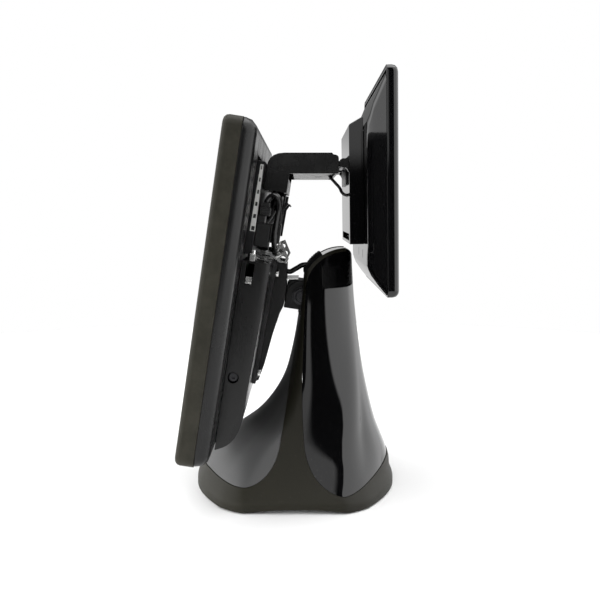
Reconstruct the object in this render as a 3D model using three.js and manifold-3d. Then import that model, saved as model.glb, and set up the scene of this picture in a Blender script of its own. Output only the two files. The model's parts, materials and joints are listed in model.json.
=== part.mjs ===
// A point-of-sale touchscreen terminal on a saddle stand, with a customer display on a rear arm.
// Millimetres, +Z up, origin on the table under the middle of the stand.
// The cashier's screen faces -Y and the customer display faces +Y.
import * as THREE from "three";
import { mergeVertices } from "three/addons/utils/BufferGeometryUtils.js";
import Module from "manifold-3d";

const wasm = await Module();
wasm.setup();

// ---- driving dimensions ----------------------------------------------------------------------
const FIT = 0.3; // clearance between two pieces that touch
const WALL = 2.5; // moulded wall of the covers

const TERMINAL_TILT = 8.7; // degrees that the cashier's screen leans back at rest
const TERMINAL_AT = { y: -100.6, z: 71.2 }; // lower front edge of the cashier's screen
const SCREEN = { halfX: 180, low: -4.6, high: 292, seam: 16.6, back: 29, corner: 9 };
const WINDOW = { halfX: 154, low: 32, high: 264 };
const HOUSING = { halfX: 130, top: 173, lowV: 50, lowU: 29, highV: 54.5, highU: 169 };
const TRAY = { halfX: 110, low: 178, high: 262, back: 35.8, sheet: 1.5 };

const PIVOT = { y: 6, z: 196 }; // axis of the main tilt hinge
const NECK = { halfX: 22.5, radius: 14.6 };
const FORK = { inner: 22.9, outer: 26.4, radius: 14.2, floor: 177.2, sheet: 3 };

const ARM = { halfX: 75, top: 335, under: 315.7, end: 41.4, wall: 3 };
const CUSTOMER_TILT = 0.95; // degrees that the customer display leans at rest
const CUSTOMER_AT = { y: 46, z: 325.5 }; // axis of the customer tilt hinge
const CUSTOMER = { halfX: 131, low: -122, high: 80.5, back: 34.8, front: 45.2, corner: 7 };
const BOX = { halfX: 75, rear: 5, low: -76, high: 35.2, crest: 41.8 };

const BASE = { plateLow: 4, plateHigh: 10, skirtLow: 1.2, archRise: 3 };
const HEAD = { y: 50, z: 202, reachY: 43, reachZ: 42, rearY: 9.2, rearZ: 11, skin: 3 };

// The stand's outer surface at each height: z, front, rear, half-width, corner drop, corner radius.
const STAND_LEVELS = [
  [1.2, 102.4, 102.4, 111, 48, 16],
  [8, 102.5, 102.5, 111, 48, 16],
  [17, 100, 98.8, 104, 46, 18],
  [26, 96.5, 98.6, 96.5, 43, 20],
  [36, 89.5, 96.8, 88, 39, 22],
  [46, 79, 92, 81, 35, 24],
  [56, 64.5, 87.5, 75.5, 30, 24],
  [63, 52, 84.8, 71.5, 26, 24],
  [69, 43, 83, 68.6, 23, 24],
  [76, 35, 81, 66, 20, 24],
  [84, 28.5, 79, 63, 18, 23],
  [93, 22.5, 77, 60, 16, 22],
  [106, 12.5, 73.8, 56.4, 12, 18],
  [122, 5.6, 70.4, 53, 9, 15],
  [150, 0.5, 65.6, 48.5, 5, 10],
  [180, -3.5, 62, 45, 3, 7],
  [203, -7, 60, 43, 2.5, 6],
  [250, -10, 58, 41, 2.5, 6],
];

// ---- finishes --------------------------------------------------------------------------------
const finish = (color, roughness, metalness) =>
  new THREE.MeshStandardMaterial({ color, roughness, metalness });
const MATTE = finish(0x2c2a26, 0.62, 0);
const SATIN = finish(0x2b2b2c, 0.42, 0);
const GLOSS = finish(0x0a0a0b, 0.08, 0);
const CAST = finish(0x121212, 0.55, 0.4);
const STEEL = finish(0x9a9c9f, 0.35, 1);
const NICKEL = finish(0xc9cbcd, 0.18, 1);
const GLASS = finish(0x050607, 0.04, 0);
const RUBBER = finish(0x111111, 0.9, 0);
const BOARD = finish(0x0f3d24, 0.6, 0);
const ALUMINIUM = finish(0xb4b7ba, 0.4, 1);
const PLUG = finish(0x17191a, 0.5, 0);

// ---- solids ----------------------------------------------------------------------------------
// A closed three.js geometry as a manifold-3d solid.
function solid(geometry) {
  const plain = geometry.clone();
  for (const name of ["normal", "uv"]) plain.deleteAttribute(name);
  const merged = mergeVertices(plain, 1e-4);
  return new wasm.Manifold(
    new wasm.Mesh({
      numProp: 3,
      vertProperties: new Float32Array(merged.attributes.position.array),
      triVerts: new Uint32Array(merged.index.array),
    }),
  );
}

// A manifold-3d solid as a named three.js mesh.
function mesh(name, shape, material) {
  const { vertProperties, triVerts } = shape.getMesh();
  const geometry = new THREE.BufferGeometry();
  geometry.setAttribute("position", new THREE.BufferAttribute(new Float32Array(vertProperties), 3));
  geometry.setIndex(new THREE.BufferAttribute(new Uint32Array(triVerts), 1));
  geometry.computeVertexNormals();
  const made = new THREE.Mesh(geometry, material);
  made.name = name;
  return made;
}

const cut = (shape, ...tools) => tools.reduce((left, tool) => left.subtract(tool), shape);
const join = (...shapes) => shapes.reduce((whole, shape) => whole.add(shape));

function box(x0, x1, y0, y1, z0, z1) {
  const geometry = new THREE.BoxGeometry(x1 - x0, y1 - y0, z1 - z0);
  geometry.translate((x0 + x1) / 2, (y0 + y1) / 2, (z0 + z1) / 2);
  return solid(geometry);
}

function outline(points) {
  return new THREE.Shape(points.map(([a, b]) => new THREE.Vector2(a, b)));
}

// An outline in the Y-Z plane carried along X.
function prismX(shape, x0, x1, curveSegments = 8) {
  const geometry = new THREE.ExtrudeGeometry(shape, {
    depth: x1 - x0,
    bevelEnabled: false,
    curveSegments,
  });
  geometry.applyMatrix4(
    new THREE.Matrix4().makeBasis(
      new THREE.Vector3(0, 1, 0),
      new THREE.Vector3(0, 0, 1),
      new THREE.Vector3(1, 0, 0),
    ),
  );
  geometry.translate(x0, 0, 0);
  return solid(geometry);
}

// An outline in the X-Y plane carried along Z.
function prismZ(shape, z0, z1, curveSegments = 6) {
  const options = { depth: z1 - z0, bevelEnabled: false, curveSegments };
  const geometry = new THREE.ExtrudeGeometry(shape, options);
  geometry.translate(0, 0, z0);
  return solid(geometry);
}

function rod(axis, radius, from, to, a, b, segments = 16) {
  const geometry = new THREE.CylinderGeometry(radius, radius, to - from, segments);
  const middle = (from + to) / 2;
  if (axis === "x") geometry.rotateZ(Math.PI / 2).translate(middle, a, b);
  if (axis === "y") geometry.translate(a, middle, b);
  if (axis === "z") geometry.rotateX(Math.PI / 2).translate(a, b, middle);
  return solid(geometry);
}

function roundedRectangle(x0, x1, z0, z1, radius) {
  const shape = new THREE.Shape();
  shape.moveTo(x0 + radius, z0);
  shape.lineTo(x1 - radius, z0);
  shape.absarc(x1 - radius, z0 + radius, radius, -Math.PI / 2, 0);
  shape.lineTo(x1, z1 - radius);
  shape.absarc(x1 - radius, z1 - radius, radius, 0, Math.PI / 2);
  shape.lineTo(x0 + radius, z1);
  shape.absarc(x0 + radius, z1 - radius, radius, Math.PI / 2, Math.PI);
  shape.lineTo(x0, z0 + radius);
  shape.absarc(x0 + radius, z0 + radius, radius, Math.PI, 1.5 * Math.PI);
  return shape;
}

// A rounded slab standing in the X-Z plane between y0 and y1; its edge at roundAt has a radius.
function slab(x0, x1, z0, z1, y0, y1, corner, edge, roundAt) {
  const radius = Math.max(corner - edge, 0.8);
  const shape = roundedRectangle(x0 + edge, x1 - edge, z0 + edge, z1 - edge, radius);
  const geometry = new THREE.ExtrudeGeometry(shape, {
    depth: y1 - y0 + 4 - edge,
    bevelThickness: edge,
    bevelSize: edge,
    bevelSegments: 3,
    curveSegments: 2,
  });
  geometry.rotateX(Math.PI / 2); // the slab now runs from y = 0 towards -Y
  if (roundAt === "high") {
    geometry.translate(0, y1 - edge, 0);
  } else {
    geometry.rotateX(Math.PI).translate(0, y0 + edge, z0 + z1);
  }
  return solid(geometry).intersect(box(x0 - 9, x1 + 9, y0, y1, z0 - 9, z1 + 9));
}

// A closed skin through sections that all have the same number of points.
function loft(sections) {
  const count = sections[0].length;
  const last = sections.length - 1;
  const positions = sections.flat().flatMap((p) => [p.x, p.y, p.z]);
  const index = [];
  for (let row = 0; row < last; row += 1) {
    for (let i = 0; i < count; i += 1) {
      const j = (i + 1) % count;
      const [a, b] = [row * count + i, row * count + j];
      index.push(a, b, b + count, a, b + count, a + count);
    }
  }
  for (const row of [0, last]) {
    const flat = sections[row].map((p) => new THREE.Vector2(p.u, p.w));
    for (const [a, b, c] of THREE.ShapeUtils.triangulateShape(flat, [])) {
      const [p, q, r] = [a, b, c].map((i) => row * count + i);
      index.push(...(row === 0 ? [p, r, q] : [p, q, r]));
    }
  }
  const geometry = new THREE.BufferGeometry();
  geometry.setAttribute("position", new THREE.Float32BufferAttribute(positions, 3));
  geometry.setIndex(index);
  return solid(geometry);
}

// A round cord along a smooth curve through its points.
function cord(points, radius, steps) {
  const section = new THREE.Shape().absarc(0, 0, radius, 0, 2 * Math.PI);
  const extrudePath = new THREE.CatmullRomCurve3(points.map((p) => new THREE.Vector3(...p)));
  return solid(new THREE.ExtrudeGeometry(section, { steps, extrudePath, curveSegments: 4 }));
}

// A pan-head screw along an axis: the head from `seat` outwards, the shank inwards.
function screw(axis, seat, outward, a, b, head = 4, shank = 2, length = 6, height = 2.6) {
  const part = (radius, from, to, segments) =>
    rod(axis, radius, Math.min(from, to), Math.max(from, to), a, b, segments);
  const top = seat + outward * height;
  const drive = part(head * 0.42, top, top - outward * 1.4, 6);
  const body = part(shank, seat - outward * length, seat + outward * 0.5, 8);
  return join(part(head, seat, top, 12).subtract(drive), body);
}

// ---- stand -----------------------------------------------------------------------------------
// One horizontal section of the stand, moved inwards by `inset`. Higher up, its rear half swings in
// from the side ribs as half an ellipse.
function standSection([z, front, rear, halfX, drop, corner], inset) {
  const w = halfX - inset;
  const f = -front + inset;
  const r = rear - inset;
  const side = { front: f + drop, rear: r - drop };
  const start = side.front + corner * 0.6;
  const middle = (side.front + side.rear) / 2;
  const shape = new THREE.Shape();
  shape.moveTo(w, start);
  shape.quadraticCurveTo(w, middle, w, side.rear - corner * 0.6);
  shape.quadraticCurveTo(w, side.rear, w - corner, side.rear + drop * 0.34);
  shape.quadraticCurveTo(w * 0.42, r, 0, r);
  shape.quadraticCurveTo(-w * 0.42, r, corner - w, side.rear + drop * 0.34);
  shape.quadraticCurveTo(-w, side.rear, -w, side.rear - corner * 0.6);
  shape.quadraticCurveTo(-w, middle, -w, start);
  shape.quadraticCurveTo(-w, side.front, corner - w, side.front - drop * 0.34);
  shape.quadraticCurveTo(-w * 0.42, f, 0, f);
  shape.quadraticCurveTo(w * 0.42, f, w - corner, side.front - drop * 0.34);
  shape.quadraticCurveTo(w, side.front, w, start);
  const points = shape.getPoints(3);
  points.pop();
  const swing = THREE.MathUtils.smoothstep(z, 40, 130);
  return points.map((p) => {
    const back = Math.max(0, p.y - start) / (r - start);
    const ellipse = Math.sign(p.x) * w * Math.sqrt(Math.max(0, 1 - back * back));
    const x = back > 0 ? p.x + (ellipse - p.x) * swing : p.x;
    return { x, y: p.y, z, u: x, w: p.y };
  });
}

function standBody(inset) {
  return loft(STAND_LEVELS.map((level) => standSection(level, inset)));
}

function standSkin(outside, thickness) {
  const inner = STAND_LEVELS.map((level) => standSection(level, outside + thickness));
  inner[0].forEach((p) => (p.z -= 5));
  inner.at(-1).forEach((p) => (p.z += 5));
  return standBody(outside).subtract(loft(inner));
}

// Everything under the head's rounded top, moved inwards by `inset`, as a solid across the stand.
function underHead(inset) {
  const shape = new THREE.Shape();
  const across = HEAD.reachY - inset;
  const up = HEAD.reachZ - inset;
  shape.moveTo(-130, -10);
  shape.lineTo(130, -10);
  shape.lineTo(130, HEAD.z + up - HEAD.rearZ);
  shape.lineTo(HEAD.y + HEAD.rearY - inset, HEAD.z + up - HEAD.rearZ);
  shape.absellipse(HEAD.y, HEAD.z + up - HEAD.rearZ, HEAD.rearY - inset, HEAD.rearZ, 0, Math.PI / 2);
  shape.absellipse(HEAD.y, HEAD.z, across, up, Math.PI / 2, Math.PI);
  shape.lineTo(-130, HEAD.z);
  return prismX(shape, -140, 140, 10);
}

// The side view of the front panel: its rear edge runs up the side rib.
function frontPanelSide(gap) {
  const shape = new THREE.Shape();
  shape.moveTo(-130, 26 + gap);
  shape.lineTo(-84, 25 + gap);
  shape.quadraticCurveTo(-58, 20 + gap, -46, 21.4 + gap);
  shape.quadraticCurveTo(-22 - gap, 26, -14.6 - gap, 52);
  shape.quadraticCurveTo(-9.5 - gap, 80, -5.6 - gap, 108);
  shape.lineTo(3.1 - gap, 164);
  shape.lineTo(6.2 - gap, 178 - gap);
  shape.lineTo(-130, 178 - gap);
  return shape;
}

// The side view of the rear panel, up to the rim of the head.
function rearPanelSide(gap) {
  const shape = new THREE.Shape();
  shape.moveTo(130, 34 + gap);
  shape.lineTo(98, 33 + gap);
  shape.quadraticCurveTo(62, 14 + gap, 46, 14.4 + gap);
  shape.quadraticCurveTo(16 + gap, 20, 9.5 + gap, 52);
  shape.quadraticCurveTo(7 + gap, 75, 7 + gap, 110);
  shape.lineTo(9.2 + gap, 178);
  shape.lineTo(10.6 + gap, 202);
  shape.lineTo(10.6 + gap, 300);
  shape.lineTo(130, 300);
  return shape;
}

function stand() {
  const group = new THREE.Group();
  const rim = 3.4; // width of the matte rim that frames the head
  const rimEnd = HEAD.y + 1;
  const behindRim = (gap) => box(-140, 140, rimEnd + gap, 140, 150, 260);
  const rearRegion = prismX(rearPanelSide(0), -140, 140).intersect(underHead(rim).add(behindRim(0)));
  const rearInset = prismX(rearPanelSide(FIT), -140, 140).intersect(
    underHead(rim + FIT).add(underHead(0.5).intersect(behindRim(FIT))),
  );
  const headFront = box(-36.5, 36.5, -30, 22, 178, 260);
  const rearOutlet = rod("y", 9, 70, 120, 0, 0, 20);
  const sideArch = prismX(
    new THREE.Shape()
      .moveTo(-48, -2)
      .lineTo(52, -2)
      .lineTo(52, BASE.skirtLow - 0.1)
      .quadraticCurveTo(2, BASE.skirtLow + 2 * BASE.archRise, -48, BASE.skirtLow - 0.1),
    -140,
    140,
  );
  const saddle = cut(
    standSkin(0, HEAD.skin).intersect(underHead(0)),
    prismX(frontPanelSide(0), -140, 140),
    rearRegion,
    headFront,
    rearOutlet,
    sideArch,
  );
  group.add(mesh("stand_saddle", saddle, MATTE));

  const panelSkin = standSkin(0.7, 2.2);
  const frontPanel = panelSkin.intersect(prismX(frontPanelSide(FIT), -140, 140));
  group.add(mesh("front_panel", frontPanel, GLOSS));
  const rearPanel = cut(panelSkin.intersect(rearInset), headFront);
  group.add(mesh("rear_panel", rearPanel, GLOSS));

  const capTop = 0.5;
  const neckGap = box(-29, 29, -30, 22, 170, 214.5);
  const slot = { halfX: 20, from: 9, to: 26 };
  const cap = cut(
    underHead(capTop).subtract(underHead(capTop + 2.6)),
    box(-140, 140, -140, 160, -20, 206),
    neckGap,
    box(-slot.halfX - FIT, slot.halfX + FIT, -30, slot.to + FIT, 200, 260),
  ).intersect(standBody(HEAD.skin + FIT));
  group.add(mesh("head_cap", cap, GLOSS));

  const grommet = cut(
    underHead(-0.9)
      .subtract(underHead(4))
      .intersect(box(-slot.halfX, slot.halfX, slot.from, slot.to, 214.8, 260)),
    prismX(roundedRectangle(7, 22.5, 200, 236.5, 2), -13, 13),
  );
  group.add(mesh("cable_grommet", grommet, RUBBER));

  const plate = standSection([0, 96.8, 96.8, 105.2, 46, 16], 0).map((p) => [p.x, p.y]);
  const cornerScrews = [
    [-62, -50],
    [62, -50],
    [-62, 56],
    [62, 56],
  ];
  const flangeScrews = [
    [-24, 56],
    [24, 56],
  ];
  const basePlate = cut(
    prismZ(outline(plate), BASE.plateLow, BASE.plateHigh),
    box(-16, 16, 81, 110, 0, 20),
    ...flangeScrews.map(([x, y]) => rod("z", 2.4, 0, 20, x, y, 10)),
  );
  group.add(mesh("base_plate", basePlate, STEEL));
  cornerScrews.forEach(([x, y], i) => {
    const foot = rod("z", 9, 0, BASE.plateLow - FIT, x * 1.25, y * 0.95, 20);
    group.add(mesh(`rubber_foot_${i + 1}`, foot, RUBBER));
  });

  const column = cut(
    join(
      box(-18, 18, 22, 46, BASE.plateHigh + FIT, 176.7),
      box(-30, 30, 16, 62, BASE.plateHigh + FIT, 14),
      box(-24, 24, 16, 47, 173, 176.7),
    ),
    box(-15, 15, 25, 43, 5, 180),
    box(-9, 9, 40, 50, 15, 45),
    ...flangeScrews.map(([x, y]) => rod("z", 2.4, 5, 20, x, y, 10)),
  );
  group.add(mesh("stand_column", column, STEEL));
  flangeScrews.forEach(([x, y], i) => {
    const fastener = screw("z", 14 + FIT, 1, x, y, 4.2, 2, 8.5);
    group.add(mesh(`column_screw_${i + 1}`, fastener, NICKEL));
  });

  const cheek = new THREE.Shape();
  cheek.moveTo(PIVOT.y + 2, PIVOT.z - FORK.radius);
  cheek.lineTo(10, FORK.floor);
  cheek.lineTo(36, FORK.floor);
  cheek.lineTo(36, 186);
  cheek.lineTo(24, PIVOT.z + FORK.radius);
  cheek.lineTo(PIVOT.y, PIVOT.z + FORK.radius);
  cheek.absarc(PIVOT.y, PIVOT.z, FORK.radius, Math.PI / 2, 1.5 * Math.PI);
  const fork = cut(
    join(
      prismX(cheek, -FORK.outer, -FORK.inner),
      prismX(cheek, FORK.inner, FORK.outer),
      box(-FORK.outer, FORK.outer, 14, 45, FORK.floor, FORK.floor + FORK.sheet),
    ),
    rod("x", 5.4, -60, 60, PIVOT.y, PIVOT.z),
    rod("z", 6, 170, 190, 0, 33),
  );
  group.add(mesh("hinge_fork", fork, CAST));

  group.add(mesh("hinge_shaft", rod("x", 5, -35, 35, PIVOT.y, PIVOT.z), STEEL));
  for (const [name, side] of [
    ["left", -1],
    ["right", 1],
  ]) {
    const washerAt = [FORK.outer + FIT, FORK.outer + FIT + 1.6].map((x) => x * side).sort((a, b) => a - b);
    const nutAt = [FORK.outer + 2.3, FORK.outer + 7.3].map((x) => x * side).sort((a, b) => a - b);
    const bore = rod("x", 5.3, -60, 60, PIVOT.y, PIVOT.z);
    const washer = rod("x", 9, ...washerAt, PIVOT.y, PIVOT.z, 20).subtract(bore);
    const nut = rod("x", 8.4, ...nutAt, PIVOT.y, PIVOT.z, 6).subtract(bore);
    group.add(mesh(`friction_washer_${name}`, washer, STEEL));
    group.add(mesh(`hinge_nut_${name}`, nut, NICKEL));
  }

  const socket = cut(
    box(-13, 13, 66, 80, BASE.plateHigh + FIT, 26),
    box(-10, 10, 70, 90, 13.5, 22.5),
  );
  group.add(mesh("base_socket", socket, PLUG));
  return group;
}

// ---- cashier's terminal, in the screen's own frame: X across, Y depth behind the front, Z up ----
const housingRear = (u) =>
  HOUSING.lowV + ((u - HOUSING.lowU) * (HOUSING.highV - HOUSING.lowV)) / (HOUSING.highU - HOUSING.lowU);

function housingSolid(inset) {
  const front = SCREEN.back + FIT - (inset ? 5 : 0);
  const side = new THREE.Shape();
  side.moveTo(front, inset);
  side.lineTo(36, 3.4 + inset);
  side.quadraticCurveTo(48 - inset, 10 + inset, housingRear(29) - inset, 29);
  side.lineTo(housingRear(HOUSING.top) - inset, HOUSING.top - inset);
  side.lineTo(front, HOUSING.top - inset);
  const x = HOUSING.halfX - inset;
  const rear = 56 - inset;
  const plan = new THREE.Shape();
  plan.moveTo(-x, 20);
  plan.lineTo(x, 20);
  plan.lineTo(x, rear - 12);
  plan.quadraticCurveTo(x, rear, x - 9, rear);
  plan.lineTo(9 - x, rear);
  plan.quadraticCurveTo(-x, rear, -x, rear - 12);
  return prismX(side, -x - 1, x + 1, 6).intersect(prismZ(plan, -20, 200, 5));
}

function terminal() {
  const group = new THREE.Group();
  group.position.set(0, TERMINAL_AT.y, TERMINAL_AT.z);
  group.rotation.x = THREE.MathUtils.degToRad(-TERMINAL_TILT);
  const { halfX, low, high, seam, back, corner } = SCREEN;

  const buttonAt = { x: 150, v: 11 };
  const bezel = cut(
    slab(-halfX, halfX, low, high, 0, seam, corner, 5, "low"),
    box(-halfX + WALL + 0.4, halfX - WALL - 0.4, WALL, 40, low + WALL + 0.4, high - WALL - 0.4),
    box(-WINDOW.halfX, WINDOW.halfX, -5, 10, WINDOW.low, WINDOW.high),
    box(buttonAt.x - 5, buttonAt.x + 5, buttonAt.v - 2.5, buttonAt.v + 2.5, low - 5, low + 9),
  );
  group.add(mesh("front_bezel", bezel, MATTE));
  group.add(mesh("touch_glass", box(-160, 160, 2.8, 5.8, 25, 270), GLASS));
  group.add(mesh("lcd_panel", box(-163, 163, 6.2, 15.2, 21, 274), STEEL));

  const opening = { halfX: 118, low: 8, high: 266 };
  const shell = cut(
    slab(-halfX, halfX, low, high, seam + FIT, back, corner + 4, 11, "high"),
    slab(-halfX + 3, halfX - 3, low + 3, high - 3, seam - 4, back - WALL, corner + 2, 9, "high"),
    box(-opening.halfX, opening.halfX, 10, 40, opening.low, opening.high),
  );
  group.add(mesh("rear_shell", shell, SATIN));

  const tray = cut(
    join(
      box(-150, 150, 17.2, 18.7, 12, 274),
      box(-TRAY.halfX, TRAY.halfX, 17.2, TRAY.back, TRAY.low, TRAY.high),
    ),
    box(
      TRAY.sheet - TRAY.halfX,
      TRAY.halfX - TRAY.sheet,
      10,
      TRAY.back - TRAY.sheet,
      TRAY.low + TRAY.sheet,
      TRAY.high - TRAY.sheet,
    ),
  );
  group.add(mesh("chassis_tray", tray, ALUMINIUM));

  const recess = { v: 36.4, u: 68, radius: 5 };
  const notch = { low: 33.5, high: 41, floor: 152.5 };
  const housing = cut(
    housingSolid(0),
    housingSolid(WALL),
    rod("x", recess.radius, 127, 140, recess.v, recess.u, 20),
    rod("x", recess.radius, -140, -127, recess.v, recess.u, 20),
    box(120, 140, notch.low, notch.high, notch.floor, 200),
    box(-140, -120, notch.low, notch.high, notch.floor, 200),
    ...[-50, 50].flatMap((x) => [60, 160].map((u) => rod("y", 2.5, 40, 70, x, u, 10))),
    box(-12, 12, 40, 49, 165, 180),
  );
  group.add(mesh("rear_housing", housing, SATIN));
  for (const [name, side] of [
    ["left", -1],
    ["right", 1],
  ]) {
    const seat = side * 124;
    group.add(mesh(`side_screw_${name}`, screw("x", seat, side, recess.v, recess.u, 4, 2, 6), NICKEL));
    const stud = join(
      rod("z", 4.6, HOUSING.top + FIT, HOUSING.top + 6.5, side * 121, 37.5, 6),
      rod("z", 2.6, HOUSING.top + 6, HOUSING.top + 10, side * 121, 37.5, 10),
    );
    group.add(mesh(`cover_stud_${name}`, stud, NICKEL));
  }

  group.add(mesh("mainboard", box(-112, 112, 20.5, 22.1, 18, 170), BOARD));
  const fins = Array.from({ length: 7 }, (_, i) => box(-27 + 8 * i, -24 + 8 * i, 25.6, 41, 75, 135));
  group.add(mesh("heat_sink", join(box(-30, 30, 22.5, 26, 75, 135), ...fins), ALUMINIUM));
  group.add(mesh("storage_drive", box(-106, -36, 22.5, 32, 30, 130), STEEL));
  const speaker = rod("y", 20, 24, 36, 76, 60, 24).add(rod("y", 10, 35.5, 43, 76, 60, 20));
  group.add(mesh("speaker", speaker, PLUG));

  const portRight = cut(
    box(64, 104, TRAY.back + FIT, 49, 186, 232),
    box(70, 84, 39.5, 47, 180, 197),
    box(88, 100, 39.5, 47, 180, 197),
  );
  group.add(mesh("port_block_right", portRight, PLUG));
  const portLeft = cut(
    box(-104, -64, TRAY.back + FIT, 49, 186, 224),
    box(-100, -86, 39, 46.5, 180, 199),
    box(-82, -68, 39, 46.5, 180, 199),
  );
  group.add(mesh("port_block_left", portLeft, ALUMINIUM));
  const powerPlug = join(box(70, 86, 49.3, 58, 190, 208), rod("z", 3.4, 207, 218, 78, 53.6, 12));
  group.add(mesh("power_plug", powerPlug, PLUG));
  group.add(mesh("cable_header", box(-11, 11, TRAY.back + FIT, 46, 178.5, 190), PLUG));

  // The cast bracket that carries the screen: a mounting plate and a deep rib, with a cable channel.
  const clearOf = (u) => housingRear(u) + FIT;
  const plate = outline([
    [clearOf(50), 50],
    [clearOf(50) + 4, 50],
    [clearOf(171) + 4, 171],
    [clearOf(171), 171],
  ]);
  const rib = outline([
    [clearOf(46), 46],
    [57, 50],
    [60.5, 67],
    [64.4, 99],
    [68, 120],
    [70.6, 128],
    [70.6, 146],
    [67.4, 171],
    [clearOf(171), 171],
  ]);
  const bracketPlate = prismX(plate, -57, 57);
  const pockets = [-30, 8].flatMap((x) => [64, 96].map((u) => box(x, x + 22, 58.4, 80, u, u + 24)));
  const holes = [-50, 50].flatMap((x) => [60, 160].map((u) => rod("y", 2.5, 40, 70, x, u, 10)));
  const bracket = cut(
    bracketPlate.add(prismX(rib, -36, 36)),
    box(-15, 15, 50, 90, 149.5, 180),
    ...pockets,
    ...holes,
    rod("y", 4, 60, 90, -12, 139.5, 10),
    rod("y", 4, 60, 90, 12, 139.5, 10),
  );
  group.add(mesh("tilt_bracket", bracket, CAST));
  [-50, 50].forEach((x, i) =>
    [60, 160].forEach((u, j) => {
      const fastener = screw("y", clearOf(u) + 4.4, 1, x, u, 4.2, 2, 9);
      group.add(mesh(`bracket_screw_${2 * i + j + 1}`, fastener, NICKEL));
    }),
  );

  const pivot = inScreen(PIVOT.y, PIVOT.z);
  const neckSide = new THREE.Shape();
  neckSide.moveTo(70.9, pivot.u - NECK.radius);
  neckSide.lineTo(pivot.v, pivot.u - NECK.radius);
  neckSide.absarc(pivot.v, pivot.u, NECK.radius, -Math.PI / 2, Math.PI / 2);
  neckSide.lineTo(75, pivot.u + NECK.radius);
  neckSide.lineTo(70.9, pivot.u + NECK.radius - 5.5);
  const neck = join(
    cut(prismX(neckSide, -NECK.halfX, NECK.halfX, 8), rod("x", 5.3, -60, 60, pivot.v, pivot.u)),
    rod("y", 3.6, 63, 72, -12, 139.5, 10),
    rod("y", 3.6, 63, 72, 12, 139.5, 10),
  );
  group.add(mesh("neck_block", neck, CAST));

  // The bright gusset plate over the bracket: two pierced cheeks joined by a web.
  const cheek = new THREE.Shape();
  cheek.moveTo(55.6, 174.5);
  cheek.lineTo(55.6, 187);
  cheek.lineTo(61, 190);
  cheek.lineTo(69, 176.5);
  cheek.lineTo(67.4, 171.6);
  cheek.lineTo(60, 171.6);
  const pierced = [rod("x", 2.6, -80, 80, 63.5, 175.5, 12), rod("x", 2.2, -80, 80, 60.2, 183, 12)];
  const gusset = cut(
    join(prismX(cheek, -59.6, -58), prismX(cheek, 58, 59.6), box(-59.6, 59.6, 55.6, 57.2, 181, 187)),
    ...pierced,
  );
  group.add(mesh("gusset_plate", gusset, NICKEL));
  return group;
}

// A point of the side view, from the object's frame into the screen's own frame.
function inScreen(y, z) {
  const lean = THREE.MathUtils.degToRad(TERMINAL_TILT);
  const [dy, dz] = [y - TERMINAL_AT.y, z - TERMINAL_AT.z];
  return {
    v: dy * Math.cos(lean) - dz * Math.sin(lean),
    u: dy * Math.sin(lean) + dz * Math.cos(lean),
  };
}

// And back again, as a [Y, Z] pair.
function fromScreen(v, u) {
  const lean = THREE.MathUtils.degToRad(TERMINAL_TILT);
  return [
    TERMINAL_AT.y + v * Math.cos(lean) + u * Math.sin(lean),
    TERMINAL_AT.z - v * Math.sin(lean) + u * Math.cos(lean),
  ];
}

function powerButton() {
  const group = new THREE.Group();
  group.position.set(0, TERMINAL_AT.y, TERMINAL_AT.z);
  group.rotation.x = THREE.MathUtils.degToRad(-TERMINAL_TILT);
  const key = join(
    box(145.4, 154.6, 8.9, 13.1, SCREEN.low - 1, SCREEN.low + 4),
    box(143.6, 156.4, 7.6, 14.4, SCREEN.low + 3.4, SCREEN.low + 5),
  );
  group.add(mesh("power_button", key, GLOSS));
  return group;
}

// ---- arm -------------------------------------------------------------------------------------
function armSide(inset) {
  const legFront = TRAY.back + FIT + inset;
  const [lowY, lowZ] = fromScreen(legFront, 238 - inset);
  const [kneeY, kneeZ] = fromScreen(legFront, 258);
  const [rearY, rearZ] = fromScreen(57.8 - inset, 238 - inset);
  const top = ARM.top - inset;
  const under = ARM.under + (inset ? -5 : 0);
  const shape = new THREE.Shape();
  shape.moveTo(lowY, lowZ);
  shape.lineTo(rearY, rearZ);
  shape.lineTo(rearY + (under - rearZ) * 0.153, under);
  shape.lineTo(ARM.end - inset - 1.6, under);
  shape.quadraticCurveTo(ARM.end - inset, under, ARM.end - inset, under + 2);
  shape.lineTo(ARM.end - inset, top - 5);
  shape.quadraticCurveTo(ARM.end - inset, top - 2, ARM.end - 5, top - 1.6);
  shape.lineTo(35, top);
  shape.lineTo(-9, top);
  shape.quadraticCurveTo(-25, top, kneeY, kneeZ);
  return shape;
}

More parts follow.
